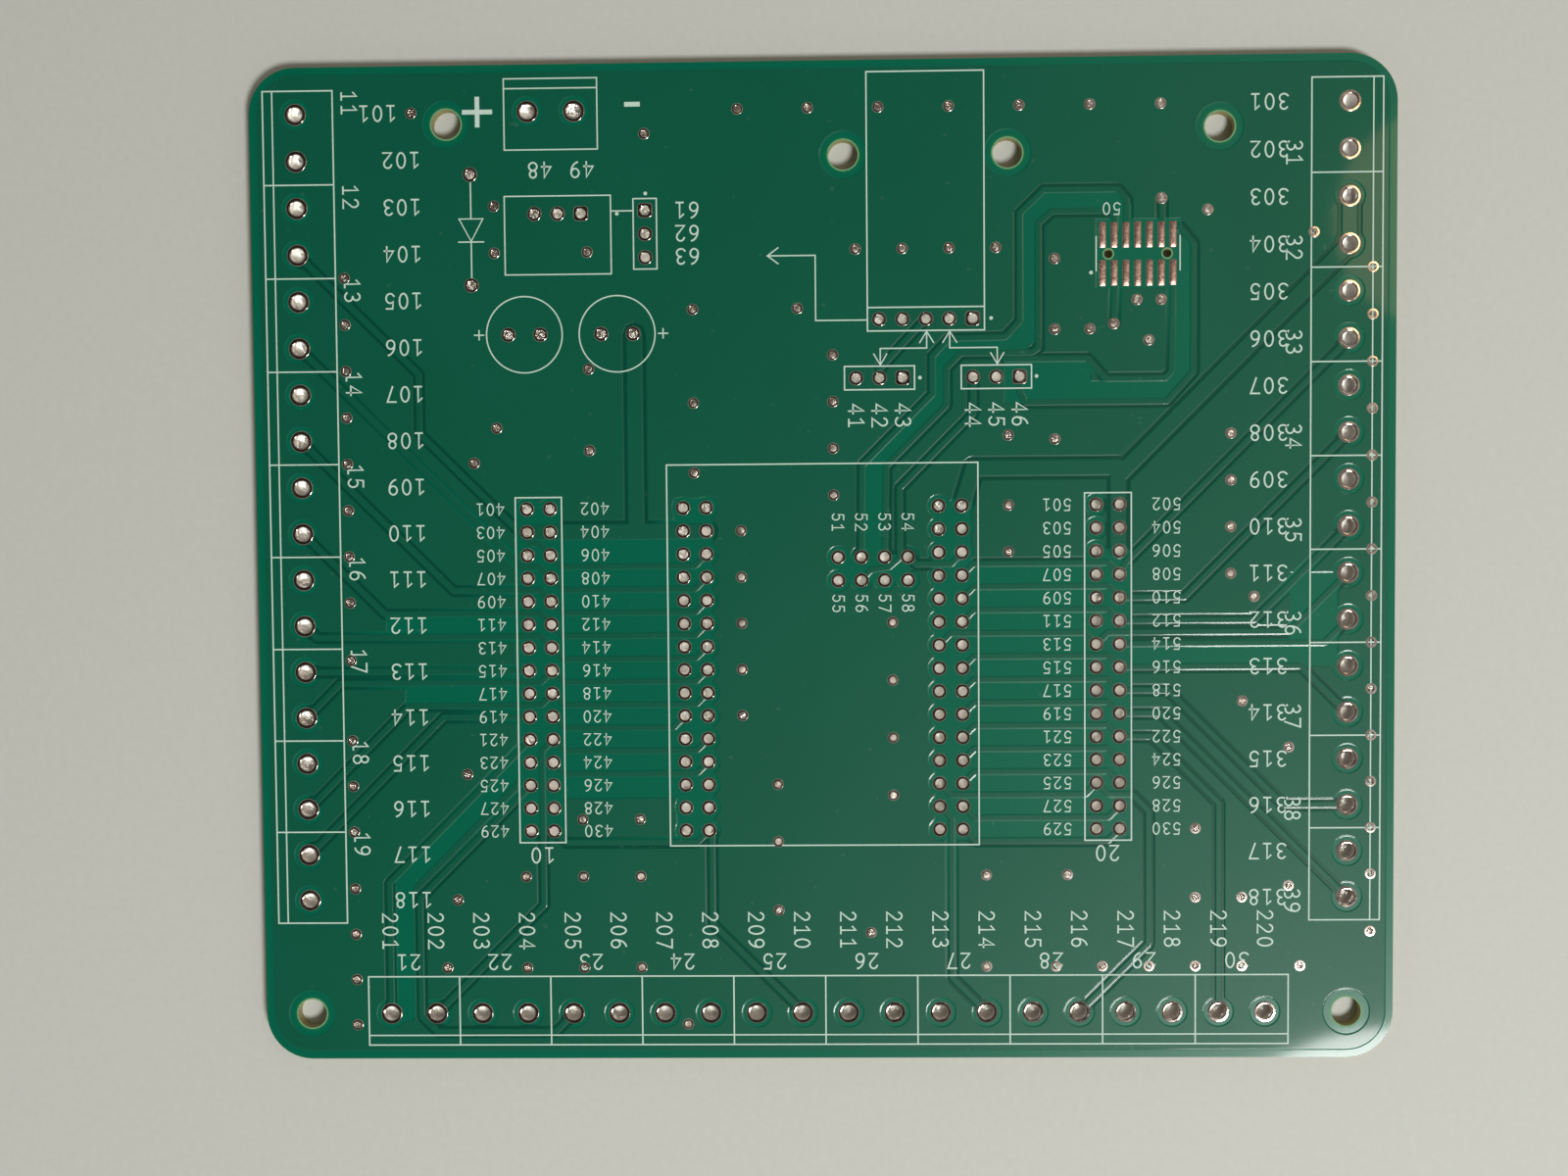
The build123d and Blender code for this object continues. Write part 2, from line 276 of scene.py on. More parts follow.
BARE_STRIPS = [
    [(5.6, 1), (5.7, 10.8), (12.9, 18), (12.9, 21.9), (14.6, 23.7), (21.3, 23.8), (22.6, 25), (22.6, 37.3),
     (24.7, 39.3), (31.8, 39.3), (32.5, 38.5), (32.5, 36)],
    [(39.2, 34), (39.2, 20.8), (37.4, 18.75), (29, 18.75)],
    [(-33.4, -21.6), (-46.6, -34.9), (-46.6, -49.5)],
]
STRIP_HALF = 1.1
bare_runs = runs(BARE_STRIPS)
joined_terminals = np.array([[-57.15, 44.45], [57.15, 49.53], [57.15, 44.45]])
is_joined = to_centres(terminals, joined_terminals) < HALF_ROW
gapped_terminals = terminals[~is_joined]
gapped_pins = np.vstack([strip_pins, test_pins])
print(len(WINDOWS), "windows,", len(gapped_terminals), "terminals with a gap")

# %% [markdown]
# ## Height of the copper
# Lacquer over copper stands a few hundredths of a millimetre above that over laminate, with a short rounded
# slope between. The height is one function of x and y, from the distance to each run, land, window and
# edge. A picture or a bump node could draw this too, but real relief catches the lamp from every side and
# stays in the mesh.

# %% The height function
SLOPE = 0.19
RELIEF = 0.035
STAGES = (0.0, 0.2, 0.6, 1.0)
SCREW_HOLE = 3.2
EDGE_LIGHT = 0.6


def to_runs(points, pairs):
    """Distance from every point to the nearest run: project onto each run, clamp to its ends, measure."""
    start, along = pairs[:, 0], pairs[:, 1] - pairs[:, 0]
    offset = points[:, None] - start
    share = np.clip((offset * along).sum(2) / (along * along).sum(1), 0, 1)
    return np.linalg.norm(offset - share[..., None] * along, axis=2).min(axis=1)


def outside_windows(points):
    """Distance outward from the nearest window, negative within one, the larger of its x and y overshoot."""
    middle, half = (WINDOWS[:, :2] + WINDOWS[:, 2:]) / 2, (WINDOWS[:, 2:] - WINDOWS[:, :2]) / 2
    return (np.abs(points[:, None] - middle) - half).max(axis=2).min(axis=1)


def within_panel(points):
    """Distance inward from the panel's rounded outline: corner circles joined by straight edges."""
    over = np.abs(points) - (BOARD / 2 - CORNER)
    return CORNER - np.linalg.norm(np.maximum(over, 0), axis=1) - np.minimum(over.max(axis=1), 0)


def beside_tracks(points):
    """Distances to the side of the nearest signal track and of the nearest supply track."""
    return to_runs(points, signal_runs) - SIGNAL_HALF, to_runs(points, supply_runs) - SUPPLY_HALF


def copper_height(points):
    """Share of the copper's height: tracks and area are ramps r of their distances, the higher wins, and r
    becomes r^2 (3 - 2 r), which is level at both ends of the slope."""
    to_signal, to_supply = beside_tracks(points)
    to_track = np.minimum(to_signal, to_supply)
    room = np.stack([
        to_signal - TRACK_GAP,
        to_supply - SUPPLY_GAP,
        to_runs(points, bare_runs) - STRIP_HALF,
        outside_windows(points) - SLOPE,
        to_centres(points, gapped_terminals) - TERMINAL_GAP,
        to_centres(points, gapped_pins) - PIN_GAP,
        to_centres(points, screw_holes) - SCREW_GAP,
        within_panel(points) - EDGE_GAP,
    ]).min(axis=0)
    ramp = np.clip(np.maximum(1 - to_track / SLOPE, 1 + room / SLOPE), 0, 1)
    return ramp * ramp * (3 - 2 * ramp)


def narrow_gap_shade(points):
    """One in the narrow gaps beside the tracks, which are darkened by painted shade and the thicker lacquer
    there, nought elsewhere.
    """
    to_signal, to_supply = beside_tracks(points)
    beside = ((to_signal > 0) & (to_signal < TRACK_GAP)) | ((to_supply > 0) & (to_supply < SUPPLY_GAP))
    roomy = (outside_windows(points) < SLOPE) | (to_runs(points, bare_runs) < STRIP_HALF)
    return np.where(beside & ~roomy, 1.0, 0.0)


def light_through(points):
    """Share of light that comes through the laminate: most at a cut edge, nought where copper begins."""
    from_edge = within_panel(points) / (EDGE_GAP - SLOPE)
    rim = SCREW_HOLE / 2
    from_hole = (to_centres(points, screw_holes) - rim) / (SCREW_GAP - SLOPE - rim)
    return np.maximum(EDGE_LIGHT * np.clip(1 - from_edge, 0, 1), np.clip(1 - from_hole, 0, 1))


print("height at the middle of the board:", copper_height(np.zeros((1, 2)))[0])

# %% [markdown]
# ## One triangulated face
# A plain grid fine enough for the narrow gaps would need millions of faces. Instead the edge lines of every
# form are drawn as closed loops, and a constrained triangulation joins them. It puts corners exactly where
# the height changes and leaves flat ground in large triangles. Triangles whose middle falls in a hole are
# dropped.

# %% Loops and triangulation
PIN_HOLE, TERMINAL_HOLE, VIA_HOLE = 1.02, 1.5, 0.7
LOCATING_HOLE = 0.95
UNDERCUT = 0.12
SCREW_STEPS, LOCATING_STEPS, TERMINAL_STEPS, PIN_STEPS, VIA_STEPS = 48, 20, 16, 12, 10
SCREW_GAP_STEPS, TERMINAL_GAP_STEPS, PIN_GAP_STEPS = 40, 24, 16
CORNER_STEPS, STRIP_END_STEPS, TRACK_END_STEPS = 12, 7, 5
MERGE_DISTANCE = 1e-4


def circles(centres, radius, steps):
    """Closed loops about the centres: centre plus radius times cosine and sine of equal steps."""
    angle = np.arange(steps) * math.tau / steps
    return centres[:, None] + radius * np.column_stack([np.cos(angle), np.sin(angle)])


def capsules(pairs, radius, steps):
    """Closed loops around straight runs: a half circle about each end, turned to the run's direction."""
    along = pairs[:, 1] - pairs[:, 0]
    heading = np.arctan2(along[:, 1], along[:, 0])
    sweep = np.linspace(-math.pi / 2, math.pi / 2, steps)
    turn = heading[:, None] + np.concatenate([sweep, sweep + math.pi])
    ends = np.repeat(pairs[:, ::-1], steps, axis=1)
    return ends + radius * np.stack([np.cos(turn), np.sin(turn)], axis=2)


def outline(inset):
    """Closed loop along the rounded panel, moved inward: four quarter circles about the corner centres."""
    angle = np.linspace(0, math.pi / 2, CORNER_STEPS) + np.arange(4)[:, None] * math.pi / 2
    signs = np.array([[1, 1], [-1, 1], [-1, -1], [1, -1]])
    middle = signs * (BOARD / 2 - CORNER)
    loop = middle[:, None] + (CORNER - inset) * np.stack([np.cos(angle), np.sin(angle)], axis=2)
    return loop.reshape(1, -1, 2)


def rectangles(margin):
    """Closed loops around the windows, moved outward by a margin."""
    low, high = WINDOWS[:, :2] - margin, WINDOWS[:, 2:] + margin
    return np.stack([low, np.column_stack([high[:, 0], low[:, 1]]), high,
                     np.column_stack([low[:, 0], high[:, 1]])], axis=1)


HOLES = [
    (terminals, TERMINAL_HOLE / 2 + UNDERCUT, TERMINAL_STEPS),
    (np.vstack([round_pins, square_pins]), PIN_HOLE / 2 + UNDERCUT, PIN_STEPS),
    (vias, VIA_HOLE / 2 + UNDERCUT, VIA_STEPS),
    (screw_holes, SCREW_HOLE / 2, SCREW_STEPS),
    (locating_holes, LOCATING_HOLE / 2, LOCATING_STEPS),
]


def triangulate(loops):
    """Corners and triangles of the panel with the loops as edges, without the triangles inside holes."""
    corners = np.vstack([loop.reshape(-1, 2) for loop in loops])
    edges, first = [], 0
    for loop in loops:
        count, steps = loop.shape[:2]
        index = first + np.arange(count * steps).reshape(count, steps)
        edges.append(np.column_stack([index.ravel(), np.roll(index, -1, axis=1).ravel()]))
        first += count * steps
    points = [Vector(corner) for corner in corners.tolist()]
    found = geometry.delaunay_2d_cdt(points, np.vstack(edges).tolist(), [], 0, MERGE_DISTANCE, False)
    corners, triangles = np.array(found[0]), np.array(found[2])
    middle = corners[triangles].mean(axis=1)
    solid = within_panel(middle) > 0
    for centres, radius, steps in HOLES:
        solid &= to_centres(middle, centres) > radius * math.cos(math.pi / steps)
    return corners, triangles[solid]


hole_loops = [circles(*hole) for hole in HOLES] + [outline(0)]
relief_loops = list(hole_loops)
for stage in STAGES:
    drop = stage * SLOPE
    relief_loops += [
        outline(EDGE_GAP - drop), rectangles(SLOPE - drop),
        circles(screw_holes, SCREW_GAP - drop, SCREW_GAP_STEPS),
        circles(gapped_terminals, TERMINAL_GAP - drop, TERMINAL_GAP_STEPS),
        circles(gapped_pins, PIN_GAP - drop, PIN_GAP_STEPS),
        capsules(bare_runs, STRIP_HALF - drop, STRIP_END_STEPS),
    ]
    for pairs, half, gap in ((signal_runs, SIGNAL_HALF, TRACK_GAP), (supply_runs, SUPPLY_HALF, SUPPLY_GAP)):
        relief_loops += [capsules(pairs, half + drop, TRACK_END_STEPS),
                         capsules(pairs, half + gap - drop, TRACK_END_STEPS)]
face_corners, face_triangles = triangulate(relief_loops)
back_corners, back_triangles = triangulate(hole_loops)
print(len(face_triangles), "triangles on the face,", len(back_triangles), "on the back")

# %% [markdown]
# ## Heights at the corners
# Each corner gets its share of the copper's height, and its share of the narrow gaps' darker lacquer,
# which is painted shade together with the thicker lacquer there.
# One table of all distances would fill the memory, so the corners go through in slices.

# %% Copper and gaps at every corner
SLICES = 24
slices = np.array_split(face_corners, SLICES)
copper = np.concatenate([copper_height(part) for part in slices])
gap_shade_share = (1 - copper) * np.concatenate([narrow_gap_shade(part) for part in slices])
print("copper covers", round(float(copper.mean()), 2), "of the corners")

# %% [markdown]
# ## Turning arrays into pieces
# Every piece goes the same way from arrays to Blender: corners in millimetres become metres, faces are
# handed over as lists, values per corner become attributes that a finish can read, and the piece is tied to
# the body.

# %% One function for every piece
LEVEL = 1e-6
finish_of = {}


def make_piece(name, corners, faces, finish, slot, stands_for=(), smooth=True, sharp=None, **values):
    """Mesh object at the origin from arrays in millimetres, with its attributes and body; its finish is noted
    for later, and the slot argument is not used.
    """
    mesh = bpy.data.meshes.new(name)
    mesh.from_pydata((corners * MM).tolist(), [], faces.tolist())
    if sharp is not None:
        ends = np.empty(len(mesh.edges) * 2, int)
        mesh.edges.foreach_get("vertices", ends)
        ends = ends.reshape(-1, 2)
        creased = sharp[ends].all(axis=1) & (np.ptp(corners[ends, 2], axis=1) < LEVEL)
        mesh.attributes.new("sharp_edge", "BOOLEAN", "EDGE").data.foreach_set("value", creased)
    for key, numbers in values.items():
        numbers = np.ascontiguousarray(numbers, "f")
        mesh.attributes.new(key, "FLOAT", "POINT").data.foreach_set("value", numbers)
    mesh.polygons.foreach_set("use_smooth", np.full(len(faces), smooth))
    piece = bpy.data.objects.new(name, mesh)
    scene.collection.objects.link(piece)
    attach(piece, "root")
    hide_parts(*stands_for)
    finish_of[piece] = finish
    print(name, len(mesh.vertices), "corners,", len(mesh.polygons), "faces")


# %% [markdown]
# ## Face and back
# On the face each corner is lowered by what its copper share lacks. The triangles are shaded flat, because
# they already follow the slopes. The back is the same drilled panel as a plain sheet, turned over to look
# down.

# %% Face and back of the board
face_z = THICKNESS - RELIEF * (1 - copper)
# the gap value on the face is the share of painted shade, with thicker lacquer, in the narrow gaps
make_piece("board_face", np.column_stack([face_corners, face_z]), face_triangles, "mask", "mask", ["board"],
           smooth=False, copper=copper, glow=light_through(face_corners), gap=gap_shade_share)
back_z = np.zeros(len(back_corners))
make_piece("board_back", np.column_stack([back_corners, back_z]), back_triangles[:, ::-1], "back_mask",
           "mask", ["board"], smooth=False)

# %% [markdown]
# ## The cut edge and the unplated holes
# A router cuts the panel out, so its edge shows the yellow-brown layers of glass and resin. The edge is a
# profile carried along the outline. The screw holes have the same bare wall, carried round a circle.

# %% Profiles along loops
ROUTER_MARK = 0.008
EDGE_PROFILE = np.array([
    [0.0, THICKNESS - RELIEF], [-ROUTER_MARK, THICKNESS - 0.08], [0.0, 1.1],
    [0.0, 0.5], [-ROUTER_MARK, 0.05], [0.0, 0.0],
])
RIM_WIDTH, RIM_Z = 0.14, 1.568
WALL_PROFILE = np.array([
    [RIM_WIDTH + 0.02, THICKNESS - RELIEF], [RIM_WIDTH, RIM_Z + 0.004], [0.0, RIM_Z], [0.0, 0.0],
])


def band(loops, heights):
    """Quads of a band around each closed loop: loops stacked level by level, neighbours joined."""
    count, levels, steps = loops.shape[:3]
    z = np.broadcast_to(heights[:, None, None], (count, levels, steps, 1))
    index = np.arange(count * levels * steps).reshape(count, levels, steps)
    after = np.roll(index, -1, axis=2)
    quads = np.stack([index[:, :-1], index[:, 1:], after[:, 1:], after[:, :-1]], axis=3)
    return np.concatenate([loops, z], axis=3).reshape(-1, 3), quads.reshape(-1, 4)


def walls(centres, radius, steps):
    """Walls of round holes: a narrow rim without lacquer on top, then a circle per level down to the back."""
    loops = np.stack([circles(centres, radius + move, steps) for move, _ in WALL_PROFILE], axis=1)
    return band(loops, WALL_PROFILE[:, 1])


edge_loops = np.stack([outline(-move)[0] for move, _ in EDGE_PROFILE])[None]
make_piece("board_edge", *band(edge_loops, EDGE_PROFILE[:, 1]), "laminate", "mask", ["board"])
for name, centres, size, steps in (
    ("screw_hole_walls", screw_holes, SCREW_HOLE, SCREW_STEPS),
    ("locating_hole_walls", locating_holes, LOCATING_HOLE, LOCATING_STEPS),
):
    make_piece(name, *walls(centres, size / 2, steps), "hole_laminate", "mask", ["board"], smooth=False)

# %% [markdown]
# ## Tinned lands and plated barrels
# Each plated hole is one turned form: from the edge of the land, over the tin, down the barrel and out
# under the board. A list of radius and height goes round every hole of a group at once. A square land marks
# a first pin, and there the outer radius follows a square. A number on each corner tells the finish where
# it lies: at the foot, on the land, at the lip or in the barrel.

# %% Turned lands
TERMINAL_LAND, PIN_LAND, SQUARE_LAND, VIA_LAND = 2.34, 1.6, 1.56, 1.24
LAND_STEPS, SMALL_LAND_STEPS = 16, 10
EDGE_RISE, SHOULDER_RISE, LAND_RISE, LIP_RISE, BACK_RISE = 0.034, 0.046, 0.05, 0.036, 0.03
SKIRT, SHOULDER, MOUTH, TERMINAL_MOUTH, LIP_SHARE = 0.03, 0.035, 0.05, 0.19, 0.3
BARREL_TOP, BARREL_END = THICKNESS - 0.03, 0.02
FOOT, LIP, LAND, BARREL = 0.0, 0.1, 1.0, 2.0
PART_OF_PROFILE = (FOOT, LAND, LAND, LAND, LIP, BARREL, BARREL, LAND)
CREASED = np.array([0, 0, 1, 1, 0, 1, 1, 0], bool)
SQUARENESS = np.array([1, 1, 1, 0.2, 0, 0, 0, 1])


def turned(centres, hole, land, steps, square):
    """Lands and barrels: radius and height from a profile, angle in equal steps, repeated at each centre."""
    outer, inner = land / 2, hole / 2
    mouth = TERMINAL_MOUTH if hole == TERMINAL_HOLE else MOUTH
    profile = np.array([
        [outer + SKIRT, THICKNESS - RELIEF / 2], [outer, THICKNESS + EDGE_RISE],
        [outer - SHOULDER, THICKNESS + SHOULDER_RISE], [inner + mouth, THICKNESS + LAND_RISE],
        [inner + LIP_SHARE * mouth, THICKNESS + LIP_RISE], [inner, BARREL_TOP],
        [inner, BARREL_END], [outer, -BACK_RISE],
    ])
    angle = (np.arange(steps) + 0.5) * math.tau / steps
    stretch = 1 / np.maximum(np.abs(np.cos(angle)), np.abs(np.sin(angle))) if square else np.ones(steps)
    radius = profile[:, :1] * (1 + SQUARENESS[:, None] * (stretch - 1))
    loops = centres[:, None, None] + np.stack([radius * np.cos(angle), radius * np.sin(angle)], axis=2)
    part, crease = (np.tile(np.repeat(level, steps), len(centres)) for level in (PART_OF_PROFILE, CREASED))
    return *band(loops, profile[:, 1]), part, crease


land_groups = [
    (f"{side}_terminal_lands_tin", centres, TERMINAL_HOLE, TERMINAL_LAND, LAND_STEPS, "tin")
    for side, centres in terminal_groups.items()
]
land_groups += [
    ("pin_lands", round_pins, PIN_HOLE, PIN_LAND, SMALL_LAND_STEPS, "tin"),
    ("first_pin_lands", square_pins, PIN_HOLE, SQUARE_LAND, LAND_STEPS, "tin"),
    ("via_lands", vias, VIA_HOLE, VIA_LAND, SMALL_LAND_STEPS, "via_tin"),
]
for name, centres, hole, land, steps, metal in land_groups:
    corners, quads, part, crease = turned(centres, hole, land, steps, name == "first_pin_lands")
    node = name.removesuffix("_tin")
    stands_for = [node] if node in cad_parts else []
    make_piece(name, corners, quads, metal, "tin", stands_for, sharp=crease, part_of_profile=part)

# %% [markdown]
# ## Connector pads
# The surface-mount connector has two rows of narrow pads. Molten tin leaves each of them slightly crowned.
# A pad is a grid of two parameters, with a flattened arch along each of them for its height.

# %% Crowned pads
PAD_LENGTH, PAD_WIDTH, PAD_PITCH = 2.8, 0.76, 1.27
CONNECTOR_X, PAD_ROWS, PADS_PER_ROW = 34.37, (35.515, 31.385), 7
ACROSS = np.array([-1, -0.9, -0.5, 0, 0.5, 0.9, 1])
ALONG = np.array([-1, -0.93, -0.5, 0, 0.5, 0.93, 1])
# pad edges take part of the tin's painted shade at the foot
PAD_EDGE = 0.2


def crowned(centres, size, rise):
    """Pads from a grid u, v in minus one to one: over a flat foot, the height is the rise times the root of
    (1 - u^6)(1 - v^6)."""
    u, v = np.meshgrid(ACROSS, ALONG)
    z = THICKNESS - RELIEF + (rise + RELIEF) * ((1 - u ** 6) * (1 - v ** 6)) ** 0.5
    flat = centres[:, None, None] + np.stack([u * size[0] / 2, v * size[1] / 2], axis=2)
    corners = np.concatenate([flat, np.broadcast_to(z[..., None], (*flat.shape[:3], 1))], axis=3)
    index = np.arange(flat[..., 0].size).reshape(flat.shape[:3])
    quads = np.stack([index[:, :-1, :-1], index[:, :-1, 1:], index[:, 1:, 1:], index[:, 1:, :-1]], axis=3)
    shade = np.tile(np.where(z.ravel() > THICKNESS, LAND, PAD_EDGE), len(centres))
    return corners.reshape(-1, 3), quads.reshape(-1, 4), shade


pad_xs = CONNECTOR_X + PAD_PITCH * (np.arange(PADS_PER_ROW) - (PADS_PER_ROW - 1) / 2)
corners, quads, shade = crowned(places(pad_xs, PAD_ROWS), (PAD_WIDTH, PAD_LENGTH), LAND_RISE)
make_piece("connector_pads_tin", corners, quads, "pad_tin", "tin", ["connector_pads"], part_of_profile=shade)

# %% [markdown]
# ## Printed lines and signs
# The legend is white ink pushed through a screen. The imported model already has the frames. The thinner
# lines, arrows and signs are strokes: a flat section carried along a path, mitred at the corners.

# %% Strokes
INK_LINE, BOLD_LINE, DOT_RADIUS = 0.14, 0.5, 0.2
INK_RISE, INK_LAYER, LAYERS = 0.03, 0.003, 3
RING_STEPS, DOT_STEPS = 64, 12
SHARPEST = 0.6


def stroke(path, width=INK_LINE, layer=1):
    """Flat bar along a path: each point moved both ways along its mitre, with a top and a bottom level."""
    path = np.asarray(path, float)
    closed = np.allclose(path[0], path[-1])
    points = path[:-1] if closed else path
    step = np.diff(path, axis=0)
    step /= np.linalg.norm(step, axis=1)[:, None]
    before = np.roll(step, 1, axis=0) if closed else np.vstack([step[:1], step])
    after = step if closed else np.vstack([step, step[-1:]])
    mean = before + after
    mean /= np.linalg.norm(mean, axis=1)[:, None]
    lean = np.column_stack([-mean[:, 1], mean[:, 0]])
    lean *= width / 2 / np.maximum((mean * after).sum(1), SHARPEST)[:, None]
    top = THICKNESS + INK_RISE + layer * INK_LAYER
    if not closed:
        points = points + np.vstack([-step[:1], np.zeros((len(points) - 2, 2)), step[-1:]]) * width / 2
    section = np.array([[-1, THICKNESS], [-1, top], [1, top], [1, THICKNESS]])
    flat = points[:, None] + section[None, :, :1] * lean[:, None]
    corners = np.concatenate([flat, np.broadcast_to(section[None, :, 1:], (len(points), 4, 1))], axis=2)
    index = np.arange(len(points) * 4).reshape(-1, 4)
    ahead = np.roll(index, -1, axis=0) if closed else index[1:]
    near = index if closed else index[:-1]
    quads = np.stack([near, np.roll(near, -1, 1), np.roll(ahead, -1, 1), ahead], axis=2).reshape(-1, 4)
    if not closed:
        quads = np.vstack([quads, index[:1, ::-1], index[-1:]])
    return corners.reshape(-1, 3), quads


def joined(parts):
    """Many small meshes as one: corners stacked, faces shifted by the corners before them."""
    sizes = np.cumsum([0] + [len(corners) for corners, _ in parts[:-1]])
    return np.vstack([c for c, _ in parts]), np.vstack([f + shift for (_, f), shift in zip(parts, sizes)])


def ring(x, y, radius, width=INK_LINE, steps=RING_STEPS):
    """Printed circle as a closed stroke; one that is twice as wide as its radius is a round spot."""
    loop = circles(np.array([[x, y]]), radius, steps)[0]
    return stroke(np.vstack([loop, loop[:1]]), width)


LINES = [
    [(-59.65, 52.07), (-59.65, -39.37)], [(59.65, 52.07), (59.65, -39.37)],
    [(-50.8, -52.0), (50.8, -52.0)], [(-34.29, 52.02), (-24.13, 52.02)], [(-22.65, 38.7), (-20.3, 38.7)],
    [(5.08, 26.6), (-0.55, 26.6), (-0.55, 33.65), (-5.7, 33.65)],
    [(-4.6, 34.5), (-5.75, 33.65), (-4.6, 32.8)],
    [(11.5, 25.2), (11.5, 23.5), (6.45, 23.5), (6.45, 21.75)],
    [(14, 25.2), (14, 23.5), (19.15, 23.5), (19.15, 21.75)],
    [(10.75, 24.1), (11.5, 25.3), (12.25, 24.1)], [(13.25, 24.1), (14, 25.3), (14.75, 24.1)],
    [(5.75, 22.9), (6.45, 21.7), (7.15, 22.9)], [(18.45, 22.9), (19.15, 21.7), (19.85, 22.9)],
    [(-38.05, 41.9), (-38.05, 38.1)], [(-38.05, 35.5), (-38.05, 31.65)],
    [(-39.36, 38.03), (-36.75, 38.03), (-38.05, 35.6), (-39.36, 38.03)],
    [(-39.4, 35.53), (-36.7, 35.53)], [(-37.85, 25.4), (-36.85, 25.4)], [(-37.35, 24.9), (-37.35, 25.9)],
    [(-17.7, 25.4), (-16.7, 25.4)], [(-17.2, 24.9), (-17.2, 25.9)],
    [(29.87, 35.3), (29.87, 31.64)], [(38.92, 35.3), (38.92, 31.64)],
]
BOLD_LINES = [
    [(-38.6, 49.55), (-35.8, 49.55)], [(-37.2, 48.15), (-37.2, 50.95)], [(-20.9, 50.17), (-19.7, 50.17)],
]
DOTS = [(-22.1, 38.4), (-18.97, 40.55), (18.5, 26.67), (10.75, 20.3), (23.4, 20.35), (29.32, 31.45)]
signs = [stroke(line, layer=1 + index % LAYERS) for index, line in enumerate(LINES)]
signs += [stroke(line, BOLD_LINE, 1 + index) for index, line in enumerate(BOLD_LINES)]
signs += [ring(x, y, DOT_RADIUS / 2, DOT_RADIUS, DOT_STEPS) for x, y in DOTS]
make_piece("printed_signs", *joined(signs), "ink", "ink", smooth=False)

# %% [markdown]
# ## Supply frames
# Near the supply terminals the print shows where a terminal block, a regulator, a row of pins and two round
# capacitors go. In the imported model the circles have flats, so here the group is inked again with round
# ones.

# %% Supply frames with round capacitor circles
SUPPLY_FRAMES = [
    (-34.29, 45.41, -24.13, 53.08), (-34.375, 31.91, -22.775, 40.41), (-20.32, 32.385, -17.78, 40.005),
]
CAPACITOR_XS, CAPACITOR_Y, CAPACITOR_RADIUS = (-32.385, -22.225), 25.4, 4.15
supply_frames = [
    stroke([(left, low), (right, low), (right, high), (left, high), (left, low)], layer=0)
    for left, low, right, high in SUPPLY_FRAMES
]
supply_frames += [ring(x, CAPACITOR_Y, CAPACITOR_RADIUS) for x in CAPACITOR_XS]
make_piece("supply_legend_ink", *joined(supply_frames), "ink", "ink", ["supply_legend"], smooth=False)

# %% [markdown]
# ## Printed numbers
# Every terminal and pin has a small printed mark, here a plain number in the thin round letters of drawing
# programs. A digit is a few pen strokes in a box of unit height: straight lines and arcs of ellipses. The
# stroke function inks them, turned as on the real board, where the print reads from the far edge.

# %% Digits as pen strokes
def arc(x, y, wide, high, start, end, steps=9):
    """Points on an ellipse about x, y from one angle to another, in degrees."""
    angle = np.radians(np.linspace(start, end, steps))
    return np.column_stack([x + wide * np.cos(angle), y + high * np.sin(angle)])


def turned_over(strokes):
    """The same strokes turned half round in the digit's box."""
    return [np.array([DIGIT_WIDTH, 1.0]) - path for path in strokes]


DIGIT_WIDTH = 0.62
SIX = [arc(0.31, 0.29, 0.26, 0.29, 0, 360, 13), arc(0.53, 0.31, 0.48, 0.69, 178, 98, 6)]
DIGITS = {
    "0": [arc(0.31, 0.5, 0.27, 0.5, 0, 360, 15)],
    "1": [np.array([(0.1, 0.78), (0.34, 1.0), (0.34, 0.0)]), np.array([(0.12, 0.0), (0.56, 0.0)])],
    "2": [np.vstack([arc(0.3, 0.73, 0.25, 0.27, 165, -35, 8), [(0.04, 0.0), (0.6, 0.0)]])],
    "3": [arc(0.28, 0.76, 0.24, 0.24, 150, -90, 8), arc(0.28, 0.26, 0.29, 0.26, 90, -150, 9)],
    "4": [np.array([(0.46, 0.0), (0.46, 1.0), (0.02, 0.28), (0.62, 0.28)])],
    "5": [np.vstack([[(0.54, 1.0), (0.14, 1.0), (0.09, 0.54)], arc(0.29, 0.32, 0.28, 0.32, 125, -150, 9)])],
    "6": SIX,
    "7": [np.array([(0.03, 1.0), (0.59, 1.0), (0.24, 0.0)])],
    "8": [arc(0.31, 0.76, 0.22, 0.24, -90, 270, 12), arc(0.31, 0.26, 0.27, 0.26, 90, 450, 13)],
    "9": turned_over(SIX),
}
ADVANCE = 0.9
PEN = 0.108


def number(text, x, y, cap, turn, align):
    """One printed number: digits side by side, shifted by the alignment share, turned and moved to place."""
    angle = math.radians(turn)
    spin = np.array([[math.cos(angle), math.sin(angle)], [-math.sin(angle), math.cos(angle)]])
    parts = []
    for place, digit in enumerate(text):
        shift = [ADVANCE * (place - align * len(text)), -0.5]
        for layer, path in enumerate(DIGITS[digit]):
            parts.append(stroke((path + shift) * cap @ spin + [x, y], PEN * cap, layer + 1))
    return parts


TERMINAL_CAP, STRIP_CAP = 1.65, 1.25
HALF_TURN, QUARTER_TURN = 180, -90


def counted(first, xs, ys, turn=HALF_TURN, cap=TERMINAL_CAP, step=1, align=0.0):
    """Numbers counted up from the first, one at each place of a row or column."""
    spots = np.column_stack(np.broadcast_arrays(xs, ys))
    return [part for index, (x, y) in enumerate(spots)
            for part in number(f"{first + step * index}", x, y, cap, turn, align)]


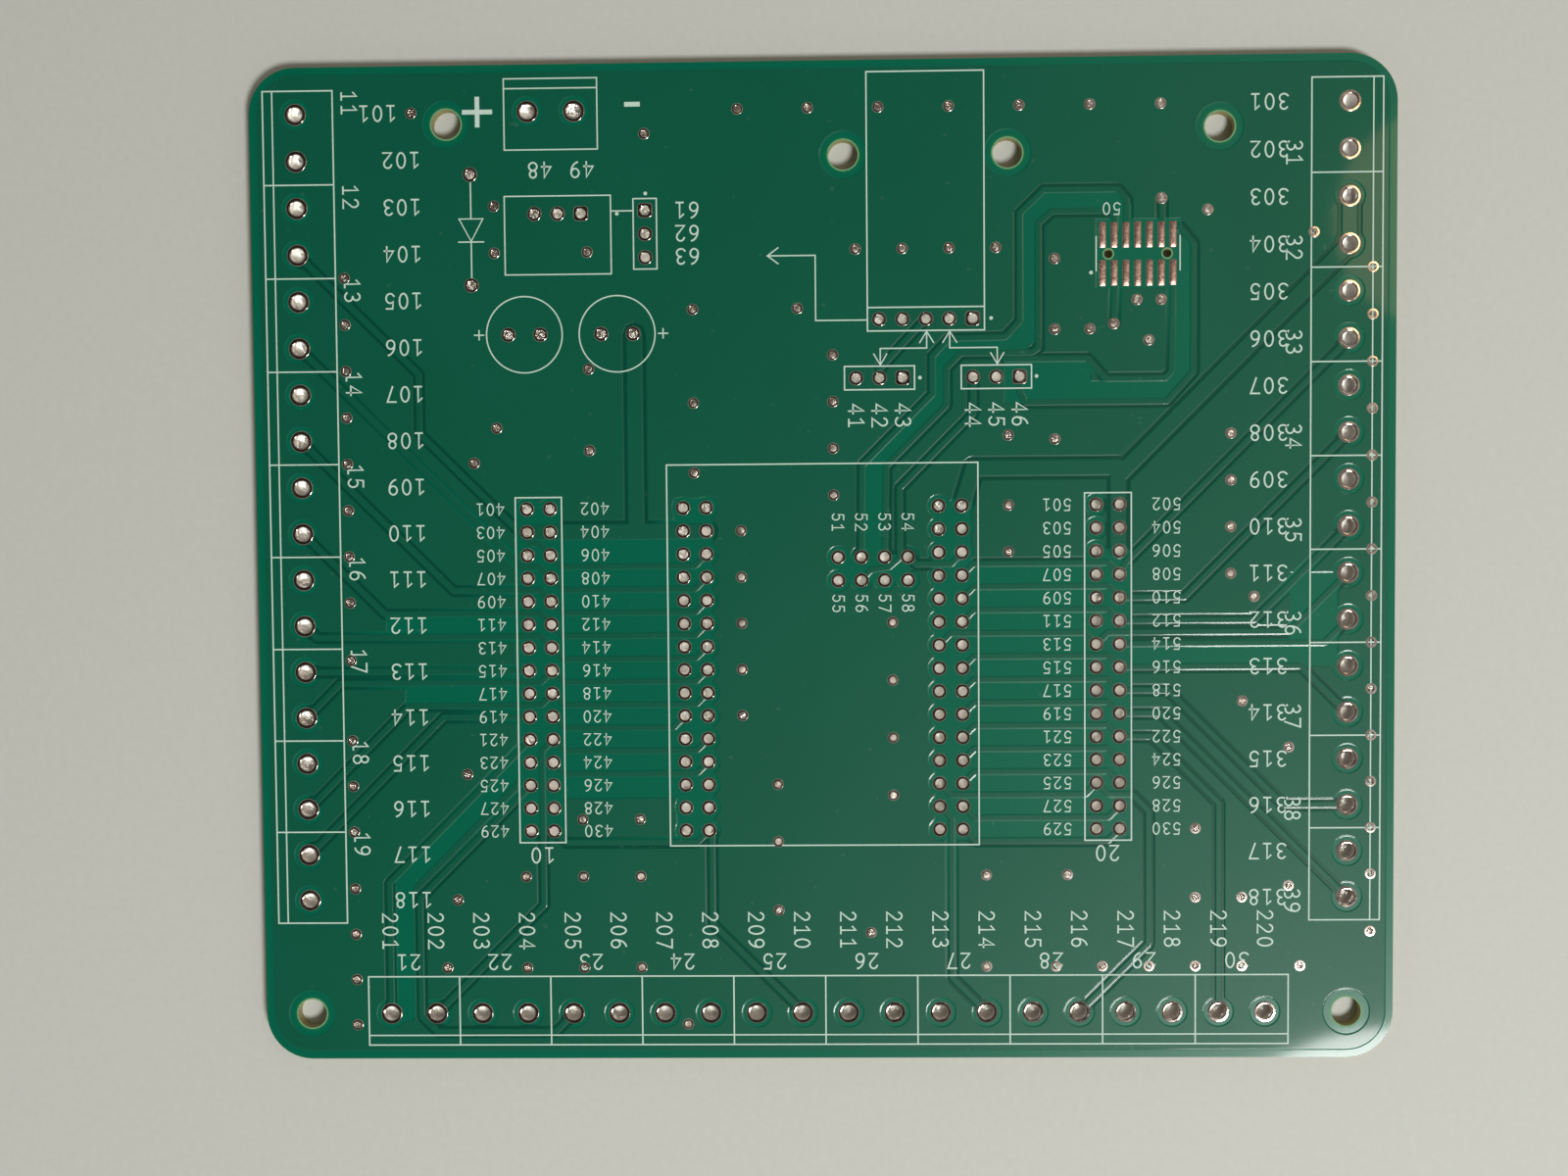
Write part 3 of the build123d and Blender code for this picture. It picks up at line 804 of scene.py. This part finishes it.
left_xs = np.where(np.arange(SIDE_COUNT) > 0, -43.6, -46.1)
block_ys = END_Y + HALF_ROW - 2 * TERMINAL_PITCH * np.arange(SIDE_COUNT // 2)
block_xs = LOWER_XS[0] + TERMINAL_PITCH * (2 * np.arange(LOWER_COUNT // 2) + 0.35)
strip_ys = row(np.arange(STRIP_ROWS))
marks = counted(101, left_xs, SIDE_YS) + counted(301, 50.5, SIDE_YS)
marks += counted(201, LOWER_XS, -38.3, QUARTER_TURN)
marks += counted(11, -51.2, block_ys + 1.2, QUARTER_TURN) + counted(31, 51.2, block_ys - 5.5, QUARTER_TURN)
marks += counted(21, block_xs, -43.8, align=0.5)
for first, x in ((401, -34.9), (402, -23.4), (501, 27.1), (502, 39.0)):
    marks += counted(first, x, strip_ys, cap=STRIP_CAP, step=2)
for first, y in ((51, 5.6), (55, -3.3)):
    marks += counted(first, TEST_XS, y, QUARTER_TURN, STRIP_CAP)
marks += counted(41, SIGNAL_XS, 17.5, QUARTER_TURN)
marks += counted(61, -13.2, [38.7, 36.2, 33.7]) + counted(48, [-29.2, -24.6], 43.2)
marks += counted(50, [32.5], 38.3, cap=STRIP_CAP) + counted(10, [-29.9, 32.3], -31.9, step=10)
make_piece("printed_numbers", *joined(marks), "ink", "ink", smooth=False)

# %% [markdown]
# ## Writing finishes as sums
# A finish is a tree of nodes. Small classes make it read like arithmetic: a socket is wrapped so that
# adding or multiplying it adds a Math node, and one method adds any other node with its settings and
# inputs.

# %% Sockets with operators
def srgb(red, green, blue):
    """Screen colour, 0 to 255 a channel, as the linear colour that a shader needs."""
    value = np.array([red, green, blue]) / 255
    linear = np.where(value <= 0.04045, value / 12.92, ((value + 0.055) / 1.055) ** 2.4)
    return (*linear.tolist(), 1.0)


class Field:
    """A shader socket that takes part in Python sums; each operator adds one Math node."""

    def __init__(self, nodes, socket):
        self.nodes, self.socket = nodes, socket

    def sum_with(self, operation, other):
        return self.nodes.node("ShaderNodeMath", {"operation": operation}, {0: self, 1: other})

    def __add__(self, other):
        return self.sum_with("ADD", other)

    def __mul__(self, other):
        return self.sum_with("MULTIPLY", other)

    def __pow__(self, other):
        return self.sum_with("POWER", other)

    __radd__, __rmul__ = __add__, __mul__


class Nodes:
    """A tree of nodes, with one method that adds any node to it."""

    def __init__(self, tree):
        self.tree = tree

    def feed(self, socket, value):
        """Link a wrapped socket to an input, or set the input to a plain value."""
        if isinstance(value, Field):
            self.tree.links.new(value.socket, socket)
        else:
            socket.default_value = value

    def node(self, kind, settings=None, inputs=None, output=0):
        """Any node: its settings first, then its inputs by name or number; one output comes back."""
        added = self.tree.nodes.new(kind)
        for key, value in (settings or {}).items():
            setattr(added, key, value)
        for key, value in (inputs or {}).items():
            self.feed(added.inputs[key], value)
        return Field(self, added.outputs[output])

    def ramp(self, field, start, end):
        """Nought up to the start, one from the end on, straight between; it may also run downwards."""
        return self.node("ShaderNodeMapRange", None, {"Value": field, "From Min": start, "From Max": end})


class Finish(Nodes):
    """The nodes of one material around its principled shader."""

    def __init__(self, name, **constants):
        self.material = bpy.data.materials.new(name)
        self.material.use_nodes = True
        super().__init__(self.material.node_tree)
        self.shader = self.tree.nodes["Principled BSDF"]
        self.link(**constants)

    def place(self):
        return self.node("ShaderNodeTexCoord", output="Object")

    def noise(self, size, detail=3.0, stretch=(1, 1, 1)):
        """Cloudy field from nought to one with grains of about this size in millimetres."""
        scaled = self.node("ShaderNodeVectorMath", {"operation": "MULTIPLY"},
                           {0: self.place(), 1: tuple(s / (size * MM) for s in stretch)})
        return self.node("ShaderNodeTexNoise", None, {"Vector": scaled, "Scale": 1.0, "Detail": detail})

    def value(self, name):
        """A number stored on each corner of the piece."""
        return self.node("ShaderNodeAttribute", {"attribute_name": name}, output="Fac")

    def mix(self, share, first, second):
        """The first colour where the share is nought, the second where it is one."""
        return self.node("ShaderNodeMix", {"data_type": "RGBA"}, {0: share, 6: first, 7: second}, output=2)

    def bump(self, height, strength, distance):
        """Surface direction tilted by a height field, its depth in millimetres."""
        return self.node("ShaderNodeBump", None,
                         {"Height": height, "Strength": strength, "Distance": distance * MM})

    def link(self, **inputs):
        """Feed inputs of the shader; a low line stands for a space in a name."""
        for key, value in inputs.items():
            self.feed(self.shader.inputs[key.replace("_", " ")], value)
        return self.material


print("finishes can be written as sums")

# %% [markdown]
# ## Green lacquer
# The lacquer is glossy and a little see-through. Over copper it looks darker, over bare laminate a fuller
# green. The height of the copper, stored on the corners, mixes the two. Faint clouds, a fine weave of the
# glass cloth and tiny specks keep it from looking like plastic.

# %% Lacquer over copper and laminate
OVER_COPPER = srgb(2, 90, 67), srgb(5, 97, 73)
OVER_LAMINATE = srgb(0, 102, 77), srgb(1, 109, 83)
# the first colour below is painted shade for the narrow gaps, with their thicker lacquer
IN_GAPS_SHADE, WEAVE = srgb(0, 68, 52), srgb(2, 80, 60)
LIT_THROUGH, SPECK = srgb(30, 128, 66), srgb(110, 150, 130)


def lacquer(finish, copper_share, glow, gap):
    """Green lacquer; copper under it makes it darker and less sharp, painted shade and thicker lacquer darken
    the narrow gaps, light through the edge brightens it.
    """
    finish.link(IOR=1.5, Specular_IOR_Level=0.22, Coat_Weight=0.42, Coat_Roughness=0.05, Coat_IOR=1.5)
    clouds = finish.noise(18, 2)
    grain = finish.noise(0.35, 2)
    specks = finish.ramp(finish.noise(0.9, 1), 0.74, 0.8)
    base = finish.mix(copper_share, finish.mix(clouds, *OVER_LAMINATE), finish.mix(clouds, *OVER_COPPER))
    # painted shade: the narrow gaps between tracks are darkened, together with their thicker lacquer
    base = finish.mix(gap * 0.85, base, IN_GAPS_SHADE)
    base = finish.mix(grain * 0.15, base, WEAVE)
    base = finish.mix(glow ** 3.0 * 0.6, base, LIT_THROUGH)
    base = finish.mix(specks * 0.12, base, SPECK)
    rough = 0.28 + copper_share * 0.12 + grain * 0.04
    return finish.link(Base_Color=base, Roughness=rough, Normal=finish.bump(grain, 0.04, 0.05))


face, back = Finish("green_lacquer"), Finish("green_lacquer_back")
mask = lacquer(face, face.value("copper"), face.value("glow"), face.value("gap"))
# on the back, random clouds stand in for the copper, light-through and gap-shade shares
back_mask = lacquer(back, back.ramp(back.noise(30, 1), 0.2, 0.4), back.noise(40, 1) * 0.1,
                    back.noise(50, 1) * 0.2)
print("lacquer:", mask.name, "and", back_mask.name)

# %% [markdown]
# ## Bare laminate
# The cut edge shows thin layers of glass cloth in yellow-brown resin, with faint marks of the router across
# them. Stretched noise gives the layers, because its grains are wide along the edge and very thin across
# it.

# %% Laminate
edge = Finish("glass_epoxy", Specular_IOR_Level=0.4)
layers = edge.noise(0.12, 2, (0.02, 0.02, 1))
router = edge.noise(0.25, 2, (1, 1, 0.05))
resin = edge.mix(layers, srgb(116, 104, 58), srgb(176, 166, 112))
resin = edge.mix(router * 0.4, resin, srgb(96, 92, 56))
laminate = edge.link(Base_Color=resin, Roughness=0.55 + layers * 0.25,
                     Normal=edge.bump(layers + router, 0.4, 0.03))

wall = Finish("glass_epoxy_wall", Specular_IOR_Level=0.3)
height = wall.node("ShaderNodeSeparateXYZ", None, {0: wall.place()}, output=2)
cut = wall.mix(wall.noise(0.2, 2), srgb(140, 132, 88), srgb(176, 170, 122))
# painted light: the pale green rim at the top of the wall stands for lamp light coming through the laminate
rim = wall.mix(wall.noise(0.5, 2), srgb(96, 148, 104), srgb(132, 178, 128))
cut_and_lit_rim = wall.mix(wall.ramp(height, (RIM_Z - 0.018) * MM, (RIM_Z - 0.002) * MM), cut, rim)
hole_laminate = wall.link(Base_Color=cut_and_lit_rim, Roughness=0.6 + wall.noise(0.3, 2) * 0.2)
print("laminate:", laminate.name, "and", hole_laminate.name)

# %% [markdown]
# ## Tin
# Hot-air levelled tin is bright and slightly uneven, with a faint warm stain. A thin dark line of painted
# shade lies at the foot of a land, where the lacquer's opening also leaves a little bare laminate, and at
# the lip of the hole. Inside the barrel the metal is nearly white, because light bounces down it several
# times and each bounce takes some away. The place stored with the profile mixes these.

# %% Tinned copper
# the second colour below is painted shade for the foot and the lip, and bare laminate at the foot
STAIN, SHADED_LINE, BARREL_METAL = srgb(170, 132, 112), srgb(92, 86, 66), srgb(254, 248, 246)


def tinned(name, bright, dull, roughness, grain):
    """Uneven tin; the place on the profile paints shade on the foot and the lip and whitens the barrel."""
    finish = Finish(name)
    flow = finish.ramp(finish.noise(grain, 3), 0.3, 0.7)
    stain = finish.ramp(finish.noise(2.5, 2), 0.35, 0.7)
    metal = finish.mix(stain * 0.15, finish.mix(flow, dull, bright), STAIN)
    place = finish.value("part_of_profile")
    colour = finish.mix(finish.ramp(place, 1.2, 1.9), metal, BARREL_METAL)
    # painted shade: the foot and the lip are darkened
    colour = finish.mix(finish.ramp(place, FOOT, 0.5), SHADED_LINE, colour)
    return finish.link(Base_Color=colour, Metallic=finish.ramp(place, FOOT, 0.4),
                       Roughness=roughness + flow * 0.05, Normal=finish.bump(flow, 0.08, 0.02))


tin = tinned("bright_tin", srgb(226, 218, 210), srgb(186, 168, 158), roughness=0.06, grain=0.6)
via_tin = tinned("via_tin", srgb(236, 228, 220), srgb(206, 190, 180), roughness=0.14, grain=0.6)
pad_tin = tinned("pad_tin", srgb(240, 208, 196), srgb(164, 118, 106), roughness=0.36, grain=0.22)
print("tin:", tin.name, via_tin.name, pad_tin.name)

# %% [markdown]
# ## Printed ink
# Screen ink is matt and not quite opaque: it is thinner here and there, where a little green comes through.

# %% Ink
print_ink = Finish("white_ink", Specular_IOR_Level=0.3)
thin = print_ink.ramp(print_ink.noise(0.22, 2), 0.5, 0.8)
white = print_ink.mix(thin * 0.35, srgb(206, 230, 219), srgb(146, 192, 172))
ink = print_ink.link(Base_Color=white, Roughness=0.6 + thin * 0.2, Normal=print_ink.bump(thin, 0.2, 0.02))

FINISHES = {
    "mask": mask, "back_mask": back_mask, "laminate": laminate, "hole_laminate": hole_laminate,
    "tin": tin, "via_tin": via_tin, "pad_tin": pad_tin, "ink": ink,
}
for piece, name in finish_of.items():
    piece.data.materials.append(FINISHES[name])
shown = [node for key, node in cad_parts.items() if key.endswith("_legend")]
for node in shown:
    node.data.materials.clear()
    node.data.materials.append(ink)
print(len(finish_of), "pieces and", len(shown), "printed frames have a finish")

# %% [markdown]
# ## Table
# The board lies on a pale table with a little fibre in its tone, which also shines up through the open
# holes. It touches the tinned rings of the back.

# %% Table
FLOOR_Z = -BACK_RISE
TABLE_REACH = 700.0
table_finish = Finish("pale_table", Specular_IOR_Level=0.2)
fibre = table_finish.noise(0.8, 3)
tone = table_finish.mix(fibre, srgb(203, 205, 199), srgb(211, 213, 207))
table_finish.link(Base_Color=tone, Roughness=0.7 + fibre * 0.1, Normal=table_finish.bump(fibre, 0.1, 0.05))
square = TABLE_REACH * np.array([[-1, -1], [1, -1], [1, 1], [-1, 1]])
table_corners = np.column_stack([square, np.full(len(square), FLOOR_Z)]) * MM
table_mesh = bpy.data.meshes.new("table")
table_mesh.from_pydata(table_corners.tolist(), [], [(0, 1, 2, 3)])
table = bpy.data.objects.new("table", table_mesh)
table.data.materials.append(table_finish.material)
scene.collection.objects.link(table)
print("table", 2 * TABLE_REACH * MM, "m wide")

# %% [markdown]
# ## Lamps and sky
# One soft round lamp stands at the lower right, and a small warm one at the upper right makes the lands
# there golden. The sky is dark overhead, so that flat tin reflects dark rings, and lighter near the horizon
# and high on the right. The bright middles of the holes are lamp light that goes down the tinned barrels to
# the table, so reflected light isn't blurred, may bounce eight times and is clamped late.

# %% Lamps, sky and light paths
KEY_TOWARDS, KEY_DISTANCE = Vector((0.43, -0.55, 1.0)).normalized(), 0.8
HORIZON, OVERHEAD, HIGH_RIGHT = 0.5, 0.03, 0.34
RIGHTWARDS = (0.95, 0.3, 0.0)


def disk_lamp(name, size, watts, colour, place, target):
    """Round area lamp that looks from its place towards a target."""
    light = bpy.data.lights.new(name, "AREA")
    light.shape, light.size, light.energy, light.color = "DISK", size, watts, colour
    lamp = bpy.data.objects.new(name, light)
    lamp.location = place
    lamp.rotation_euler = (place - target).to_track_quat("Z", "Y").to_euler()
    scene.collection.objects.link(lamp)


disk_lamp("key", size=0.228, watts=4.7, colour=(1.0, 1.0, 0.98),
          place=KEY_TOWARDS * KEY_DISTANCE, target=Vector((0, 0, 0)))
disk_lamp("warm", size=0.06, watts=0.03, colour=(1.0, 0.76, 0.4),
          place=Vector((0.172, 0.086, 0.3)), target=Vector((0.06, 0.035, 0)))
world = bpy.data.worlds.new("sky")
world.use_nodes = True
sky = Nodes(world.node_tree)
background = sky.tree.nodes["Background"].inputs
direction = sky.node("ShaderNodeTexCoord", output="Generated")
height = sky.node("ShaderNodeSeparateXYZ", None, {0: direction}, output="Z")
dot = {"operation": "DOT_PRODUCT"}
across = sky.node("ShaderNodeVectorMath", dot, {0: direction, 1: RIGHTWARDS}, "Value")
low = sky.ramp(height, 0.8, 0.4)
high_right = sky.ramp(across, 0.1, 0.3) * sky.ramp(height, 0.55, 0.85)
sky.feed(background["Color"], srgb(237, 231, 221))
sky.feed(background["Strength"], OVERHEAD + low * (HORIZON - OVERHEAD) + high_right * HIGH_RIGHT)
scene.world = world
bpy.context.scene.view_settings.view_transform = "Standard"
scene.cycles.blur_glossy = 0.0
scene.cycles.glossy_bounces = 8
scene.cycles.sample_clamp_indirect = 40.0
print("two lamps and a sky of", len(sky.tree.nodes), "nodes")

# %% [markdown]
# ## Camera
# The camera looks almost straight down, as in the photograph. Its place, turn and focal length were worked
# out from where the raster of holes lies in the picture.

# %% Camera
FOCAL_PIXELS, IMAGE_WIDTH, SENSOR_WIDTH = 1800.0, 1600.0, 36.0
CAMERA_PLACE = (0.000076, 0.005451, 0.194676)
CAMERA_TURN = (-2.37, 1.261, -0.486)
lens = bpy.data.cameras.new("camera")
lens.sensor_width = SENSOR_WIDTH
lens.lens = FOCAL_PIXELS / IMAGE_WIDTH * SENSOR_WIDTH
lens.clip_start = MM
camera = bpy.data.objects.new("camera", lens)
camera.location = CAMERA_PLACE
camera.rotation_euler = [math.radians(turn) for turn in CAMERA_TURN]
scene.collection.objects.link(camera)
bpy.context.scene.camera = camera
print("camera at", tuple(round(value, 4) for value in camera.location))
